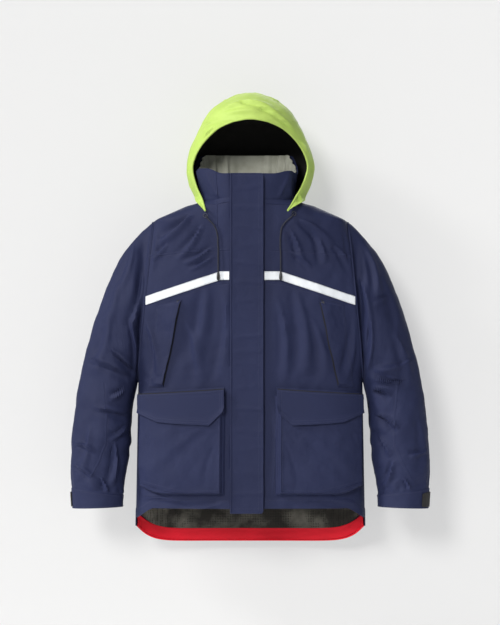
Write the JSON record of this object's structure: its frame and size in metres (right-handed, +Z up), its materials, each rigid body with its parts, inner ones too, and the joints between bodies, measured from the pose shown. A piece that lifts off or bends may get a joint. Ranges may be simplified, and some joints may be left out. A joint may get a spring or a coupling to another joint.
{
  "type": "foul weather jacket",
  "caption": "Hip-length hooded sailing jacket with storm flap over a zip, reflective chest bands, slanted chest pockets, bellows cargo pockets, adjustable cuffs and a dropped back hem.",
  "frame": {"origin": "where a peg bears on the hanger loop, inside the back of the neck", "axes": "+Z up as worn or hung, -Y to the front, +X towards the side whose front panel the storm flap closes on"},
  "size_m": [0.8996, 0.2445, 1.12],
  "materials": {
    "navy_fabric": "woven coated shell fabric, low sheen",
    "lime_fabric": "fluorescent woven shell fabric",
    "black_lining": "smooth lining",
    "mesh": "knitted mesh",
    "red_fabric": "smooth woven facing",
    "fleece": "brushed fleece",
    "reflective_tape": "glass bead tape",
    "black_tape": "woven tape and hook patches",
    "black_plastic": "moulded",
    "dark_metal": "dark lacquered",
    "cord_fabric": "braided cord",
    "cuff_seal": "stretch seal",
    "grip_rubber": "moulded"
  },
  "bodies": {
    "jacket": {"front_panel_left": "navy_fabric", "front_panel_right": "navy_fabric", "yoke_left": "navy_fabric", "yoke_right": "navy_fabric", "back_panel": "navy_fabric", "mesh_lining_back": "mesh", "mesh_lining_left": "mesh", "mesh_lining_right": "mesh", "hem_facing": "red_fabric", "collar_shell": "navy_fabric", "collar_fleece": "fleece", "hanger_loop": "navy_fabric", "storm_flap_seam": "navy_fabric", "flap_loop_patches": "black_tape", "zip_guard": "navy_fabric", "zip_tape_left": "black_tape", "zip_tape_right": "black_tape", "zip_teeth_left": "black_plastic", "zip_teeth_right": "black_plastic", "zip_stops": "dark_metal", "reflective_band_left": "reflective_tape", "reflective_band_right": "reflective_tape", "chest_facing_left": "navy_fabric", "chest_facing_right": "navy_fabric", "chest_zip_left": "black_tape", "chest_zip_right": "black_tape", "cargo_pocket_left": "navy_fabric", "cargo_pocket_right": "navy_fabric", "cargo_header_left": "navy_fabric", "cargo_header_right": "navy_fabric", "cord_eyelets": "dark_metal", "drawcord_left": "cord_fabric", "drawcord_right": "cord_fabric", "cord_end_left": "black_plastic", "cord_end_right": "black_plastic", "shoulder_left": "navy_fabric", "shoulder_right": "navy_fabric"},
    "storm_flap": {"storm_flap": "navy_fabric", "flap_hook_patches": "black_tape"},
    "zip_slider": {"zip_slider": "dark_metal"},
    "zip_puller": {"zip_puller": "black_plastic"},
    "hood": {"hood_shell": "lime_fabric", "hood_lining": "black_lining", "hood_brim": "lime_fabric"},
    "cargo_flap_left": {"cargo_flap_left": "navy_fabric"},
    "cargo_flap_right": {"cargo_flap_right": "navy_fabric"},
    "chest_slider_left": {"chest_slider_left": "dark_metal"},
    "chest_slider_right": {"chest_slider_right": "dark_metal"},
    "sleeve_left": {"sleeve_left": "navy_fabric", "cuff_left": "navy_fabric", "inner_cuff_left": "cuff_seal"},
    "sleeve_right": {"sleeve_right": "navy_fabric", "cuff_right": "navy_fabric", "inner_cuff_right": "cuff_seal"},
    "cuff_tab_left": {"cuff_tab_left": "navy_fabric", "tab_grip_left": "grip_rubber"},
    "cuff_tab_right": {"cuff_tab_right": "navy_fabric", "tab_grip_right": "grip_rubber"}
  },
  "joints": [
    {"name": "storm_flap_hinge", "type": "hinge", "parent": "jacket", "child": "storm_flap", "pos_m": [-0.045, -0.1595, -0.36], "axis": [0, 0, -1], "range_deg": [0, 95]},
    {"name": "zip_slide", "type": "slide", "parent": "jacket", "child": "zip_slider", "axis": [0, 0, -1], "range_m": [0, 0.79]},
    {"name": "zip_puller_swing", "type": "hinge", "parent": "zip_slider", "child": "zip_puller", "pos_m": [0, -0.1526, 0.038], "axis": [0, 1, 0], "range_deg": [-30, 30]},
    {"name": "hood_tilt", "type": "hinge", "parent": "jacket", "child": "hood", "pos_m": [0, 0.038, 0.002], "axis": [-1, 0, 0], "range_deg": [0, 95]},
    {"name": "cargo_flap_left_lift", "type": "hinge", "parent": "jacket", "child": "cargo_flap_left", "pos_m": [-0.062, -0.1745, -0.47], "axis": [-0.9936, 0.1132, 0], "range_deg": [0, 150]},
    {"name": "cargo_flap_right_lift", "type": "hinge", "parent": "jacket", "child": "cargo_flap_right", "pos_m": [0.062, -0.1745, -0.47], "axis": [-0.9936, -0.1132, 0], "range_deg": [0, 150]},
    {"name": "chest_slider_left_slide", "type": "slide", "parent": "jacket", "child": "chest_slider_left", "axis": [-0.226, 0.0664, -0.9719], "range_m": [0, 0.183]},
    {"name": "chest_slider_right_slide", "type": "slide", "parent": "jacket", "child": "chest_slider_right", "axis": [0.226, 0.0664, -0.9719], "range_m": [0, 0.183]},
    {"name": "sleeve_left_swing", "type": "hinge", "parent": "jacket", "child": "sleeve_left", "pos_m": [-0.333, -0.06, -0.158], "axis": [0, 1, 0], "range_deg": [0, 30]},
    {"name": "sleeve_right_swing", "type": "hinge", "parent": "jacket", "child": "sleeve_right", "pos_m": [0.333, -0.06, -0.158], "axis": [0, -1, 0], "range_deg": [0, 30]},
    {"name": "cuff_tab_left_peel", "type": "hinge", "parent": "sleeve_left", "child": "cuff_tab_left", "pos_m": [-0.37091, -0.03015, -0.7368], "axis": [0.0018, -0.0791, -0.9969], "range_deg": [0, 85]},
    {"name": "cuff_tab_right_peel", "type": "hinge", "parent": "sleeve_right", "child": "cuff_tab_right", "pos_m": [0.37091, -0.03015, -0.7368], "axis": [0.0018, 0.0791, 0.9969], "range_deg": [0, 85]}
  ]
}
